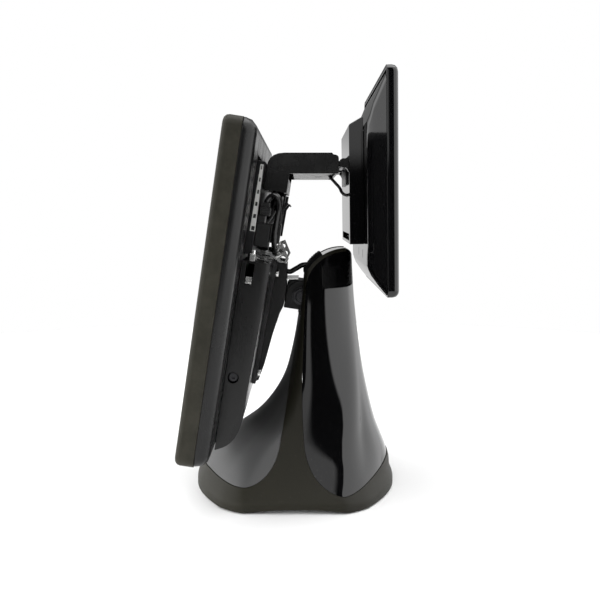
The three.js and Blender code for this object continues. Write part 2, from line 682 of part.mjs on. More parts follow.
function arm() {
  const group = new THREE.Group();
  const hinge = CUSTOMER_AT;
  const knuckle = (x0, x1) => {
    const web = box(x0, x1, ARM.end - 2, hinge.y, hinge.z - 2.6, hinge.z + 2.6);
    return join(rod("x", 4.3, x0, x1, hinge.y, hinge.z, 16), web);
  };
  const screwHoles = [-52, 52].map((x) => leanRod(2.4, 30, 70, x, 246));
  const headRoom = [-52, 52].map((x) => leanRod(5, 46, 80, x, 246));
  const body = cut(
    join(
      prismX(armSide(0), -ARM.halfX, ARM.halfX, 5).subtract(prismX(armSide(ARM.wall), -72, 72, 5)),
      knuckle(40, 60),
      knuckle(-60, -40),
    ),
    rod("x", 2.3, -90, 90, hinge.y, hinge.z, 12),
    ...screwHoles,
    ...headRoom,
    box(-10, 10, -36, -16, 290, 304),
  );
  group.add(mesh("arm_body", body, SATIN));
  const [coverFrontY] = fromScreen(57.8, 250);
  const cover = cut(
    box(FIT - 72, 72 - FIT, coverFrontY + 4, ARM.end - ARM.wall - FIT - 2, ARM.under, ARM.under + 1.8),
    rod("z", 3.2, 300, 330, 30, 33.5, 12),
    box(-4, 4, 20, 27, 310, 316.6),
  );
  group.add(mesh("arm_cover", cover, SATIN));
  group.add(mesh("customer_hinge_pin", rod("x", 2, -63, 63, hinge.y, hinge.z, 12), STEEL));
  group.add(leanScrew("arm_screw_1", -52, 246), leanScrew("arm_screw_2", 52, 246));
  return group;
}

// A rod square to the leaning screen, given in the object's frame.
function leanRod(radius, from, to, x, u) {
  const geometry = new THREE.CylinderGeometry(radius, radius, to - from, 12);
  geometry.translate(x, (from + to) / 2, u);
  geometry.rotateX(THREE.MathUtils.degToRad(-TERMINAL_TILT));
  geometry.translate(0, TERMINAL_AT.y, TERMINAL_AT.z);
  return solid(geometry);
}

function leanScrew(name, x, u) {
  const group = new THREE.Group();
  group.position.set(0, TERMINAL_AT.y, TERMINAL_AT.z);
  group.rotation.x = THREE.MathUtils.degToRad(-TERMINAL_TILT);
  const seat = TRAY.back + FIT + ARM.wall + FIT;
  group.add(mesh(name, screw("y", seat, 1, x, u, 4.2, 2, 3), NICKEL));
  return group;
}

// ---- customer display, in its own frame with the hinge axis at the origin --------------------
function displaySection(y, halfX, low, high, radius) {
  const drawn = roundedRectangle(-halfX, halfX, low, high, radius).getPoints(3);
  const points = drawn.filter((p, i) => p.distanceTo(drawn.at(i - 1)) > 0.01);
  return points.map((p) => ({ x: p.x, y, z: p.y, u: p.x, w: p.y }));
}

function displayShell(inset) {
  const levels = [
    [34.5, 129.5, -120.5, 73.5, 9],
    [28, 124, -112.5, 58.5, 9],
    [24.6, 121, -107.5, 51, 9],
    [21.7, 118, -103.2, 41, 9],
    [19.6, 114.5, -98, 36, 9],
    [18.7, 112, -95, 31, 8],
  ];
  return loft(
    levels.map(([y, halfX, low, high, radius]) =>
      displaySection(y + (inset ? 2.4 : 0), halfX - inset, low + inset, high - inset, radius),
    ),
  );
}

function customerDisplay() {
  const group = new THREE.Group();
  group.position.set(0, CUSTOMER_AT.y, CUSTOMER_AT.z);
  group.rotation.x = THREE.MathUtils.degToRad(CUSTOMER_TILT);
  const { halfX, low, high, back, front, corner } = CUSTOMER;
  const glass = { halfX: 123, low: -113.6, high: 72.6, back: 42.9 };

  const bezel = cut(
    slab(-halfX, halfX, low, high, back, front, corner, 5.5, "high"),
    box(FIT * -1 - glass.halfX, glass.halfX + FIT, glass.back, 60, glass.low - FIT, glass.high + FIT),
    box(-127.5, 127.5, 30, 41, low + 3.4, high - 3.4),
    box(-114, 114, 30, 60, -105, 66),
  );
  group.add(mesh("customer_bezel", bezel, GLOSS));
  const pane = box(-glass.halfX, glass.halfX, glass.back + FIT, front, glass.low, glass.high);
  group.add(mesh("customer_glass", pane, GLASS));
  group.add(mesh("customer_lcd", box(-113, 113, 35.6, 42, -104, 65), STEEL));

  const shell = cut(
    displayShell(0),
    displayShell(2.4),
    box(-52, 52, 10, 26, -62, 22),
    ...[-9, 47].map((x) => box(x, x + 3, 10, 24, -90, -82)),
  );
  group.add(mesh("customer_shell", shell, GLOSS));

  const boxSide = (inset) =>
    outline([
      [BOX.rear + inset, BOX.low + inset],
      [18.4 + (inset ? 5 : 0), BOX.low + inset],
      [18.4 + (inset ? 5 : 0), BOX.crest - inset],
      [16.6, BOX.crest - inset],
      [BOX.rear + inset, BOX.high - inset],
    ]);
  const inner = WALL;
  const mountBox = cut(
    prismX(boxSide(0), -BOX.halfX, BOX.halfX),
    prismX(boxSide(inner), inner - BOX.halfX, BOX.halfX - inner),
    box(-62, 62, 0, 10, -73, -66.5),
    rod("y", 3, 0, 10, 30, -29, 12),
  );
  group.add(mesh("customer_box", mountBox, GLOSS));

  const barrel = (x0, x1) => rod("x", 4.2, x0, x1, 0, 0, 16);
  const leaf = cut(
    join(barrel(18, 39.6), barrel(-39.6, -18), box(-39.6, 39.6, 3.2, BOX.rear - FIT, -19, 0)),
    rod("x", 2.3, -90, 90, 0, 0, 12),
    box(26, 34, 0, 8, -24, -17.5),
  );
  group.add(mesh("customer_hinge_leaf", leaf, STEEL));
  group.add(mesh("customer_board", box(-50, 50, 23, 24.6, -60, 20), BOARD));
  return group;
}

// ---- leads that the object holds all the way -------------------------------------------------
function leads() {
  const group = new THREE.Group();
  const neckRoute = [
    [0, ...fromScreen(46.4, 180)],
    [0, ...fromScreen(51, 179.6)],
    [0, ...fromScreen(57, 174.5)],
    [0, ...fromScreen(63, 165)],
    [0, ...fromScreen(70, 160)],
    [0, 1, 222],
    [0, 8, 225.6],
    [0, 16, 225],
    [0, 23, 219],
    [0, 28.5, 208],
    [0, 31.5, 194],
    [0, 33, 178],
    [0, 34, 150],
    [0, 34, 110],
    [0, 34, 70],
    [0, 35, 42],
    [0, 39, 30],
    [0, 48, 22.5],
    [0, 57, 19.6],
    [0, 65.7, 19],
  ];
  group.add(mesh("neck_cable", cord(neckRoute, 2.6, 48), RUBBER));
  const armRoute = [
    [30, 6, 325],
    [30, 18, 324.6],
    [30, 27, 322.4],
    [30, 32.4, 318.4],
    [30, 35.6, 313.4],
    [30, 40.4, 308],
    [30, 44.4, 303.4],
    [30, 46.2, 299.6],
    [30, 49, 297.1],
    [30, 53.4, 296.4],
    [30, 58, 296.2],
  ];
  group.add(mesh("arm_cable", cord(armRoute, 1.5, 26), RUBBER));
  return group;
}

const assembly = new THREE.Group();
assembly.add(stand(), terminal(), powerButton(), arm(), customerDisplay(), leads());
export default assembly;
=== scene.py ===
# %% [markdown]
# # A touchscreen till on a saddle stand
#
# The machine has four groups that move as one each: the stand, the cashier's terminal with the arm behind
# it, the power key, and the small customer display. The frame already holds every one of them at its true
# size, so this notebook only makes each piece look like the real thing and lets it ride on its group.

# %% Load the frame
import json
import math

import bmesh
import bpy
from mathutils import Matrix, Vector


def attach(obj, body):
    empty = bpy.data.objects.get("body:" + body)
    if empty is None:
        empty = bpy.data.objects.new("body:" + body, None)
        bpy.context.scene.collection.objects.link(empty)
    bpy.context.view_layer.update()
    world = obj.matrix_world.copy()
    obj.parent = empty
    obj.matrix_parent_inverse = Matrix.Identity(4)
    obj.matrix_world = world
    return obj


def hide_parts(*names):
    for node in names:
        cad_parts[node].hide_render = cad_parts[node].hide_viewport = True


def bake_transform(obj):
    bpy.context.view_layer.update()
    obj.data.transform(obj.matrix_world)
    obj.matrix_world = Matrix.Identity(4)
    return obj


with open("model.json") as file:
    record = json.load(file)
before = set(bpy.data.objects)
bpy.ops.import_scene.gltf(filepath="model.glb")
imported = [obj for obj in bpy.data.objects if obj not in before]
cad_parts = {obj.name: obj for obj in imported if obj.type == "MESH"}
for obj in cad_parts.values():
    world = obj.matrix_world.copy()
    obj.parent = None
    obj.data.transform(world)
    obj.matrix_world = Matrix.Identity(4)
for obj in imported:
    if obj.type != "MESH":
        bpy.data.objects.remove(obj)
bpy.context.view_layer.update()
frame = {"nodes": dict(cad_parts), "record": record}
scene = bpy.context.scene
bodies = frame["record"]["behaviour"]["bodies"]
body_of_node = {node: body for body, nodes in bodies.items() for node in nodes}

# %% [markdown]
# ## Camera, floor and light
#
# The camera stands at the right-hand side of the machine, a little above its middle, and looks almost
# straight at it. A white surround with a pale floor keeps the outline crisp. Black plastic shows little of
# its own colour and mostly mirrors the room, so the surround is shaped by direction: a dark gap around the
# camera, a darker far side, and a pale card straight ahead. Three soft boxes light what the surround
# doesn't, and the lowest of them lights the front panel without showing up in any reflection.

# %% Camera
lens = bpy.data.cameras.new("Camera")
lens.lens = 50
lens.sensor_width = 36
camera = bpy.data.objects.new("Camera", lens)
scene.collection.objects.link(camera)
camera.location = (0.861, 0.008, 0.279)
looks_along = Vector((-0.99465, -0.00358, -0.10324))
camera.rotation_euler = looks_along.to_track_quat("-Z", "Y").to_euler()
scene.camera = camera
scene.view_settings.view_transform = "Standard"
print("camera looks along", tuple(round(v, 4) for v in looks_along))


# %% Node helpers
def link(tree, source, target):
    tree.links.new(source, target)


def add_node(tree, kind, **values):
    """A shader node with its properties and its named or numbered inputs set."""
    made = tree.nodes.new(kind)
    for name, value in values.items():
        if name == "inputs":
            for socket, number in value.items():
                made.inputs[socket].default_value = number
        else:
            setattr(made, name, value)
    return made


def new_material(name):
    material = bpy.data.materials.new(name)
    material.use_nodes = True
    return material, material.node_tree, material.node_tree.nodes["Principled BSDF"]


# %% Floor and surround
floor_bm = bmesh.new()
bmesh.ops.create_circle(floor_bm, cap_ends=True, segments=96, radius=1.25)
floor_mesh = bpy.data.meshes.new("studio_floor")
floor_bm.to_mesh(floor_mesh)
floor_bm.free()
floor = bpy.data.objects.new("studio_floor", floor_mesh)
scene.collection.objects.link(floor)
floor_paint, tree, shader = new_material("pale_floor")
shader.inputs["Base Color"].default_value = (0.86, 0.86, 0.86, 1)
shader.inputs["Roughness"].default_value = 0.9
shader.inputs["Specular IOR Level"].default_value = 0.1
floor_mesh.materials.append(floor_paint)

# Bearings from the camera's side, at which each part of the surround begins and is complete.
GAP_EDGE = [math.radians(a) for a in (37, 42)]
FAR_SIDE = [math.radians(a) for a in (125, 160)]
CARD_EDGE = [math.radians(a) for a in (9, 6)]

world = bpy.data.worlds.new("studio")
world.use_nodes = True
scene.world = world
tree = world.node_tree
backdrop = tree.nodes["Background"]
backdrop.inputs["Color"].default_value = (1, 1, 1, 1)
sky = add_node(tree, "ShaderNodeTexCoord")
ways = add_node(tree, "ShaderNodeSeparateXYZ")
bearing = add_node(tree, "ShaderNodeMath", operation="ARCTAN2")
aside = add_node(tree, "ShaderNodeMath", operation="ABSOLUTE")
dark_gap = add_node(tree, "ShaderNodeMapRange", interpolation_type="SMOOTHSTEP", inputs={
    "From Min": GAP_EDGE[0], "From Max": GAP_EDGE[1], "To Min": 0.012, "To Max": 2.1})
far_side = add_node(
    tree, "ShaderNodeMapRange", inputs={"From Min": FAR_SIDE[0], "From Max": FAR_SIDE[1]},
)
raised = add_node(
    tree, "ShaderNodeMapRange",
    inputs={"From Min": 0.06, "From Max": 0.13, "To Min": 0.68, "To Max": 0.93},
)
dusk = add_node(tree, "ShaderNodeMath", operation="MULTIPLY")
dimming = add_node(tree, "ShaderNodeMath", operation="MULTIPLY_ADD", inputs={1: -1.0, 2: 1.0})
lit = add_node(tree, "ShaderNodeMath", operation="MULTIPLY")
card_side = add_node(
    tree, "ShaderNodeMapRange", inputs={"From Min": CARD_EDGE[0], "From Max": CARD_EDGE[1]},
)
card_low = add_node(
    tree, "ShaderNodeMapRange", inputs={"From Min": 0.052, "From Max": 0.075, "To Max": 1.1},
)
card = add_node(tree, "ShaderNodeMath", operation="MULTIPLY")
total = add_node(tree, "ShaderNodeMath", operation="ADD")
seen = add_node(tree, "ShaderNodeLightPath")
strength = add_node(tree, "ShaderNodeMix", data_type="FLOAT")
strength.inputs["B"].default_value = 1.0
link(tree, sky.outputs["Generated"], ways.inputs["Vector"])
link(tree, ways.outputs["Y"], bearing.inputs[0])
link(tree, ways.outputs["X"], bearing.inputs[1])
link(tree, bearing.outputs[0], aside.inputs[0])
link(tree, aside.outputs[0], dark_gap.inputs["Value"])
link(tree, aside.outputs[0], far_side.inputs["Value"])
link(tree, aside.outputs[0], card_side.inputs["Value"])
link(tree, ways.outputs["Z"], raised.inputs["Value"])
link(tree, ways.outputs["Z"], card_low.inputs["Value"])
link(tree, far_side.outputs["Result"], dusk.inputs[0])
link(tree, raised.outputs["Result"], dusk.inputs[1])
link(tree, dusk.outputs[0], dimming.inputs[0])
link(tree, dark_gap.outputs["Result"], lit.inputs[0])
link(tree, dimming.outputs[0], lit.inputs[1])
link(tree, card_side.outputs["Result"], card.inputs[0])
link(tree, card_low.outputs["Result"], card.inputs[1])
link(tree, lit.outputs[0], total.inputs[0])
link(tree, card.outputs[0], total.inputs[1])
link(tree, total.outputs[0], strength.inputs["A"])
link(tree, seen.outputs["Is Camera Ray"], strength.inputs["Factor"])
link(tree, strength.outputs["Result"], backdrop.inputs["Strength"])


# %% Soft boxes
def soft_box(name, at, aim, width, height, power):
    light = bpy.data.lights.new(name, "AREA")
    light.shape = "RECTANGLE"
    light.size = width
    light.size_y = height
    light.energy = power
    lamp = bpy.data.objects.new(name, light)
    lamp.location = at
    lamp.rotation_euler = (Vector(aim) - Vector(at)).to_track_quat("-Z", "Y").to_euler()
    scene.collection.objects.link(lamp)
    return lamp


soft_box("top_box", (-0.1, 0.1, 1.6), (0, 0, 0), 1.2, 1.4, 12)
soft_box("side_fill", (1.5, -0.5, 1.3), (0, 0, 0.15), 0.5, 0.5, 5)
soft_box("low_box", (0.3, -0.5, 0.06), (0.05, -0.04, 0.05), 0.35, 0.1, 2.2).visible_glossy = False

# %% [markdown]
# ## Finishes
#
# Nearly everything here is black or dark grey, so the finishes differ by how they scatter light. The bezel
# and saddle are spark-textured ABS with a fine even grain. The covers behind the screen are satin. The stand
# panels and the customer display are polished to a piano gloss, which shows faint wiping marks and dust.
# Three effects are shared by several finishes, so each is a node group: a moulded grain, handling marks, and
# the light rubbing that edges get. Each material then chooses how much of each it has.


# %% Shared effects
def effect_group(name, inputs, outputs):
    group = bpy.data.node_groups.new(name, "ShaderNodeTree")
    for label, value in inputs.items():
        socket = group.interface.new_socket(label, in_out="INPUT", socket_type="NodeSocketFloat")
        socket.default_value = value
    for label in outputs:
        group.interface.new_socket(label, in_out="OUTPUT", socket_type="NodeSocketFloat")
    return group, add_node(group, "NodeGroupInput"), add_node(group, "NodeGroupOutput")


grain_effect, inlet, outlet = effect_group(
    "moulded_grain", {"Scale": 2400.0, "Tone": 0.1}, ["Height", "Tone"],
)
place = add_node(grain_effect, "ShaderNodeTexCoord")
fine = add_node(grain_effect, "ShaderNodeTexNoise", inputs={"Detail": 3.0, "Roughness": 0.6})
pits = add_node(grain_effect, "ShaderNodeTexVoronoi", feature="F1")
broad = add_node(grain_effect, "ShaderNodeTexNoise", inputs={"Scale": 14.0, "Detail": 4.0})
mixed = add_node(grain_effect, "ShaderNodeMath", operation="MULTIPLY_ADD", inputs={1: 0.6})
spread = add_node(grain_effect, "ShaderNodeMath", operation="SUBTRACT", inputs={1: 0.5})
tone = add_node(grain_effect, "ShaderNodeMath", operation="MULTIPLY_ADD", inputs={2: 1.0})
for texture in (fine, pits, broad):
    link(grain_effect, place.outputs["Object"], texture.inputs["Vector"])
for texture in (fine, pits):
    link(grain_effect, inlet.outputs["Scale"], texture.inputs["Scale"])
link(grain_effect, pits.outputs["Distance"], mixed.inputs[0])
link(grain_effect, fine.outputs["Fac"], mixed.inputs[2])
link(grain_effect, mixed.outputs[0], outlet.inputs["Height"])
link(grain_effect, broad.outputs["Fac"], spread.inputs[0])
link(grain_effect, spread.outputs[0], tone.inputs[0])
link(grain_effect, inlet.outputs["Tone"], tone.inputs[1])
link(grain_effect, tone.outputs[0], outlet.inputs["Tone"])

marks_effect, inlet, outlet = effect_group(
    "handling_marks", {"Scale": 22.0, "Amount": 0.5}, ["Smear", "Dust"],
)
place = add_node(marks_effect, "ShaderNodeTexCoord")
stretch = add_node(
    marks_effect, "ShaderNodeMapping", inputs={"Scale": (1.0, 1.0, 0.35), "Rotation": (0.5, 0.2, 0.0)},
)
smear = add_node(
    marks_effect, "ShaderNodeTexNoise", inputs={"Detail": 6.0, "Roughness": 0.62, "Distortion": 1.1},
)
cut_off = add_node(marks_effect, "ShaderNodeMapRange", inputs={"From Min": 0.48, "From Max": 0.78})
scaled = add_node(marks_effect, "ShaderNodeMath", operation="MULTIPLY")
specks = add_node(marks_effect, "ShaderNodeTexNoise", inputs={"Scale": 900.0, "Detail": 1.0})
sparse = add_node(marks_effect, "ShaderNodeMapRange", inputs={"From Min": 0.74, "From Max": 0.8})
facing = add_node(marks_effect, "ShaderNodeNewGeometry")
split = add_node(marks_effect, "ShaderNodeSeparateXYZ")
upward = add_node(
    marks_effect, "ShaderNodeMapRange", inputs={"From Min": 0.2, "From Max": 1.0, "To Min": 0.12},
)
settled = add_node(marks_effect, "ShaderNodeMath", operation="MULTIPLY")
link(marks_effect, place.outputs["Object"], stretch.inputs["Vector"])
link(marks_effect, stretch.outputs["Vector"], smear.inputs["Vector"])
link(marks_effect, inlet.outputs["Scale"], smear.inputs["Scale"])
link(marks_effect, smear.outputs["Fac"], cut_off.inputs["Value"])
link(marks_effect, cut_off.outputs["Result"], scaled.inputs[0])
link(marks_effect, inlet.outputs["Amount"], scaled.inputs[1])
link(marks_effect, scaled.outputs[0], outlet.inputs["Smear"])
link(marks_effect, place.outputs["Object"], specks.inputs["Vector"])
link(marks_effect, specks.outputs["Fac"], sparse.inputs["Value"])
link(marks_effect, facing.outputs["Normal"], split.inputs["Vector"])
link(marks_effect, split.outputs["Z"], upward.inputs["Value"])
link(marks_effect, sparse.outputs["Result"], settled.inputs[0])
link(marks_effect, upward.outputs["Result"], settled.inputs[1])
link(marks_effect, settled.outputs[0], outlet.inputs["Dust"])

rub_effect, inlet, outlet = effect_group("rubbed_edges", {"Amount": 0.5}, ["Mask"])
shape = add_node(rub_effect, "ShaderNodeNewGeometry")
sharp = add_node(rub_effect, "ShaderNodeMapRange", inputs={"From Min": 0.53, "From Max": 0.66})
place = add_node(rub_effect, "ShaderNodeTexCoord")
patchy = add_node(rub_effect, "ShaderNodeTexNoise", inputs={"Scale": 60.0, "Detail": 5.0, "Roughness": 0.7})
broken = add_node(rub_effect, "ShaderNodeMapRange", inputs={"From Min": 0.38, "From Max": 0.66})
worn = add_node(rub_effect, "ShaderNodeMath", operation="MULTIPLY")
level = add_node(rub_effect, "ShaderNodeMath", operation="MULTIPLY")
link(rub_effect, shape.outputs["Pointiness"], sharp.inputs["Value"])
link(rub_effect, place.outputs["Object"], patchy.inputs["Vector"])
link(rub_effect, patchy.outputs["Fac"], broken.inputs["Value"])
link(rub_effect, sharp.outputs["Result"], worn.inputs[0])
link(rub_effect, broken.outputs["Result"], worn.inputs[1])
link(rub_effect, worn.outputs[0], level.inputs[0])
link(rub_effect, inlet.outputs["Amount"], level.inputs[1])
link(rub_effect, level.outputs[0], outlet.inputs["Mask"])
print("effects:", [g.name for g in bpy.data.node_groups])


# %% A finish built from the effects
def effect(tree, group, **values):
    made = tree.nodes.new("ShaderNodeGroup")
    made.node_tree = group
    for name, value in values.items():
        made.inputs[name].default_value = value
    return made


def finish(name, colour, roughness, **look):
    """A dark or metal finish: its colour, its roughness, and how much grain, smearing and rubbing it has."""
    material, tree, shader = new_material(name)
    shader.inputs["Metallic"].default_value = look.get("metallic", 0.0)
    shader.inputs["IOR"].default_value = look.get("ior", 1.5)
    shader.inputs["Specular IOR Level"].default_value = look.get("shine", 0.5)
    shader.inputs["Coat Weight"].default_value = look.get("coat", 0.0)
    shader.inputs["Coat Roughness"].default_value = 0.03
    grain = effect(tree, grain_effect, Scale=look.get("scale", 2400.0), Tone=look.get("tone", 0.3))
    marks = effect(tree, marks_effect, Scale=look.get("smear_scale", 22.0), Amount=look.get("smear", 0.3))
    rub = effect(tree, rub_effect, Amount=look.get("rub", 0.4))
    shade = add_node(tree, "ShaderNodeMix", data_type="RGBA", blend_type="MULTIPLY", inputs={"Factor": 1.0})
    shade.inputs["A"].default_value = (*colour, 1)
    worn = add_node(tree, "ShaderNodeMix", data_type="RGBA")
    worn.inputs["B"].default_value = (*look.get("worn", [min(1, 3 * c + 0.02) for c in colour]), 1)
    dusty = add_node(tree, "ShaderNodeMix", data_type="RGBA")
    dusty.inputs["B"].default_value = (0.3, 0.29, 0.27, 1)
    link(tree, grain.outputs["Tone"], shade.inputs["B"])
    link(tree, shade.outputs["Result"], worn.inputs["A"])
    link(tree, rub.outputs["Mask"], worn.inputs["Factor"])
    link(tree, worn.outputs["Result"], dusty.inputs["A"])
    fall = add_node(tree, "ShaderNodeMath", operation="MULTIPLY", inputs={1: look.get("dust", 0.25)})
    link(tree, marks.outputs["Dust"], fall.inputs[0])
    link(tree, fall.outputs[0], dusty.inputs["Factor"])
    link(tree, dusty.outputs["Result"], shader.inputs["Base Color"])
    rough = add_node(
        tree, "ShaderNodeMath", operation="MULTIPLY_ADD",
        inputs={1: look.get("blur", 0.15), 2: roughness},
    )
    rough.use_clamp = True
    link(tree, marks.outputs["Smear"], rough.inputs[0])
    link(tree, rough.outputs[0], shader.inputs["Roughness"])
    bump = add_node(tree, "ShaderNodeBump", inputs={"Strength": look.get("bump", 0.2), "Distance": 0.0002})
    link(tree, grain.outputs["Height"], bump.inputs["Height"])
    link(tree, bump.outputs["Normal"], shader.inputs["Normal"])
    return material


charcoal = finish(
    "charcoal_spark_texture", (0.0132, 0.0122, 0.0078), 0.52, scale=1900, bump=0.35, tone=0.5, rub=0.2,
    shine=0.22,
)
satin = finish(
    "satin_cover_plastic", (0.0045, 0.0045, 0.0046), 0.24, scale=2600, bump=0.12, tone=0.35, smear=0.9,
    blur=0.2, shine=0.3,
)
piano = finish(
    "piano_black", (0.0022, 0.0022, 0.0025), 0.045, scale=700, bump=0.012, tone=0.2, smear=0.5,
    blur=0.09, dust=0.5, rub=0.1,
)
# Front stand panel: a soft-gloss black whose base colour is lifted to dark grey. The lift is painted sheen
# that stands in for the broad grey reflection on this panel.
painted_sheen_black = finish(
    "black_with_painted_sheen", (0.05, 0.05, 0.0505), 0.5, scale=900, bump=0.03, tone=0.2, smear=0.6, blur=0.12,
    rub=0.1, ior=1.6,
)
casting = finish(
    "powder_coated_casting", (0.004, 0.004, 0.004), 0.45, scale=1100, bump=0.6, tone=0.4, rub=0.5,
    worn=(0.12, 0.12, 0.125), shine=0.3,
)
zinc = finish(
    "zinc_plated_steel", (0.42, 0.43, 0.44), 0.32, metallic=1.0, scale=500, bump=0.15, tone=0.5,
    smear=0.8, blur=0.3,
)
nickel = finish(
    "bright_nickel", (0.66, 0.66, 0.65), 0.2, metallic=1.0, scale=900, bump=0.08, tone=0.3, smear=0.6,
    blur=0.2,
)
blacked = finish(
    "blackened_steel", (0.035, 0.035, 0.037), 0.3, metallic=1.0, scale=900, bump=0.1, tone=0.3,
    smear=0.6, worn=(0.3, 0.3, 0.3),
)
sheet = finish(
    "plain_aluminium", (0.55, 0.56, 0.58), 0.42, metallic=1.0, scale=1300, bump=0.2, tone=0.35,
    smear=0.8, blur=0.2,
)
nylon = finish(
    "black_nylon", (0.005, 0.005, 0.0052), 0.36, scale=1500, bump=0.25, tone=0.4, smear=0.4, shine=0.4,
)
rubber = finish(
    "soft_rubber", (0.006, 0.006, 0.006), 0.7, scale=1200, bump=0.5, tone=0.5, rub=0.2, shine=0.3,
)
jacket = finish("cable_jacket", (0.004, 0.004, 0.0042), 0.24, scale=1600, bump=0.1, tone=0.3, smear=0.8)
pale_zinc = finish(
    "pale_zinc_sheet", (0.55, 0.55, 0.53), 0.5, scale=700, bump=0.3, tone=1.2, smear=0.6,
    worn=(0.75, 0.75, 0.75),
)
module = finish("display_frame", (0.10, 0.10, 0.105), 0.35, metallic=1.0, scale=800, bump=0.1, tone=0.4)
print(len(bpy.data.materials), "materials so far")

# %% [markdown]
# A switched-off touchscreen is a sheet of polished glass over a black printed border, and the picture area
# inside the border is a shade lighter. One material can carry both, with the border drawn from distances in
# the sheet's own plane. The circuit boards get solder mask with thin traces, and the cable jacket is plain.


# %% Screen glass and circuit board
def screen_glass(name, place, half_width, low, high):
    """Dark polished glass whose picture area is a touch lighter than its border."""
    material, tree, shader = new_material(name)
    shader.inputs["IOR"].default_value = 1.52
    shader.inputs["Coat Weight"].default_value = 0.6
    shader.inputs["Coat Roughness"].default_value = 0.02
    where = add_node(tree, "ShaderNodeTexCoord")
    turned = add_node(tree, "ShaderNodeMapping", vector_type="TEXTURE")
    turned.inputs["Location"].default_value = place.to_translation()
    turned.inputs["Rotation"].default_value = place.to_euler()
    split = add_node(tree, "ShaderNodeSeparateXYZ")
    link(tree, where.outputs["Object"], turned.inputs["Vector"])
    link(tree, turned.outputs["Vector"], split.inputs["Vector"])
    across = add_node(tree, "ShaderNodeMath", operation="ABSOLUTE")
    link(tree, split.outputs["X"], across.inputs[0])
    side = add_node(
        tree, "ShaderNodeMapRange", inputs={"From Min": half_width, "From Max": half_width - 0.0006},
    )
    link(tree, across.outputs[0], side.inputs["Value"])
    up = add_node(tree, "ShaderNodeMath", operation="SUBTRACT", inputs={1: (low + high) / 2})
    link(tree, split.outputs["Z"], up.inputs[0])
    tall = add_node(tree, "ShaderNodeMath", operation="ABSOLUTE")
    link(tree, up.outputs[0], tall.inputs[0])
    half = (high - low) / 2
    ends = add_node(tree, "ShaderNodeMapRange", inputs={"From Min": half, "From Max": half - 0.0006})
    link(tree, tall.outputs[0], ends.inputs["Value"])
    inside = add_node(tree, "ShaderNodeMath", operation="MULTIPLY")
    link(tree, side.outputs["Result"], inside.inputs[0])
    link(tree, ends.outputs["Result"], inside.inputs[1])
    tint = add_node(tree, "ShaderNodeMix", data_type="RGBA")
    tint.inputs["A"].default_value = (0.002, 0.002, 0.0022, 1)
    tint.inputs["B"].default_value = (0.012, 0.0125, 0.014, 1)
    link(tree, inside.outputs[0], tint.inputs["Factor"])
    link(tree, tint.outputs["Result"], shader.inputs["Base Color"])
    marks = effect(tree, marks_effect, Scale=30.0, Amount=0.8)
    rough = add_node(tree, "ShaderNodeMath", operation="MULTIPLY_ADD", inputs={1: 0.12, 2: 0.03})
    link(tree, marks.outputs["Smear"], rough.inputs[0])
    link(tree, rough.outputs[0], shader.inputs["Roughness"])
    return material


MM = 0.001
SCREEN = Matrix.Translation((0, -0.1006, 0.0712)) @ Matrix.Rotation(math.radians(-8.7), 4, "X")
CUSTOMER = Matrix.Translation((0, 0.046, 0.3255)) @ Matrix.Rotation(math.radians(0.95), 4, "X")
main_glass = screen_glass("touch_glass_black", SCREEN, 0.152, 0.034, 0.262)
rear_glass = screen_glass("customer_glass_black", CUSTOMER, 0.1055, -0.0985, 0.0597)

board, tree, shader = new_material("circuit_board_mask")
place = add_node(tree, "ShaderNodeTexCoord")
tracks = add_node(
    tree, "ShaderNodeTexBrick", inputs={"Scale": 90.0, "Mortar Size": 0.05, "Brick Width": 0.9},
)
tracks.inputs["Color1"].default_value = (0.008, 0.05, 0.022, 1)
tracks.inputs["Color2"].default_value = (0.010, 0.06, 0.028, 1)
tracks.inputs["Mortar"].default_value = (0.03, 0.12, 0.05, 1)
link(tree, place.outputs["Object"], tracks.inputs["Vector"])
link(tree, tracks.outputs["Color"], shader.inputs["Base Color"])
bump = add_node(tree, "ShaderNodeBump", inputs={"Strength": 0.3, "Distance": 0.0001})
link(tree, tracks.outputs["Fac"], bump.inputs["Height"])
link(tree, bump.outputs["Normal"], shader.inputs["Normal"])
shader.inputs["Roughness"].default_value = 0.35

power_lamp, tree, shader = new_material("power_lamp_lens")
place = add_node(tree, "ShaderNodeTexCoord")
frost = add_node(tree, "ShaderNodeTexNoise", inputs={"Scale": 1500.0})
frosted = add_node(tree, "ShaderNodeMapRange", inputs={"To Min": 0.2, "To Max": 0.45})
link(tree, place.outputs["Object"], frost.inputs["Vector"])
link(tree, frost.outputs["Fac"], frosted.inputs["Value"])
link(tree, frosted.outputs["Result"], shader.inputs["Roughness"])
shader.inputs["Base Color"].default_value = (0.22, 0.24, 0.26, 1)
print("glass, boards and lamp ready")

# %% [markdown]
# ## From a shape to a piece
#
# Every piece ends the same way: its mesh goes into an object at the origin, it is shaded smooth with its
# hard edges kept, it gets its finish, and it rides on the body that carries it. The frame's own solids have
# knife-sharp edges, and no moulding or casting has those. A welded copy with its edges rounded by a few
# tenths of a millimetre catches the light the way the real one does, so most pieces start as such a copy.

# %% Publish and dress
hard_angle = math.radians(33)
WELD, FLAT_ANGLE = 2e-6, math.radians(0.6)


def publish(bm, name, body, material, stands_for=(), place=None):
    """Puts a bmesh into the scene as a finished piece on a body."""
    bmesh.ops.scale(bm, vec=(MM, MM, MM), verts=bm.verts)
    if place is not None:
        bmesh.ops.transform(bm, matrix=place, verts=bm.verts)
    mesh = bpy.data.meshes.new(name)
    bm.to_mesh(mesh)
    bm.free()
    mesh.shade_smooth()
    mesh.set_sharp_from_angle(angle=hard_angle)
    piece = bpy.data.objects.new(name, mesh)
    scene.collection.objects.link(piece)
    mesh.materials.append(material)
    even = piece.modifiers.new("Even shading", "WEIGHTED_NORMAL")
    even.keep_sharp = True
    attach(piece, body)
    if stands_for:
        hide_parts(*stands_for)
    return piece


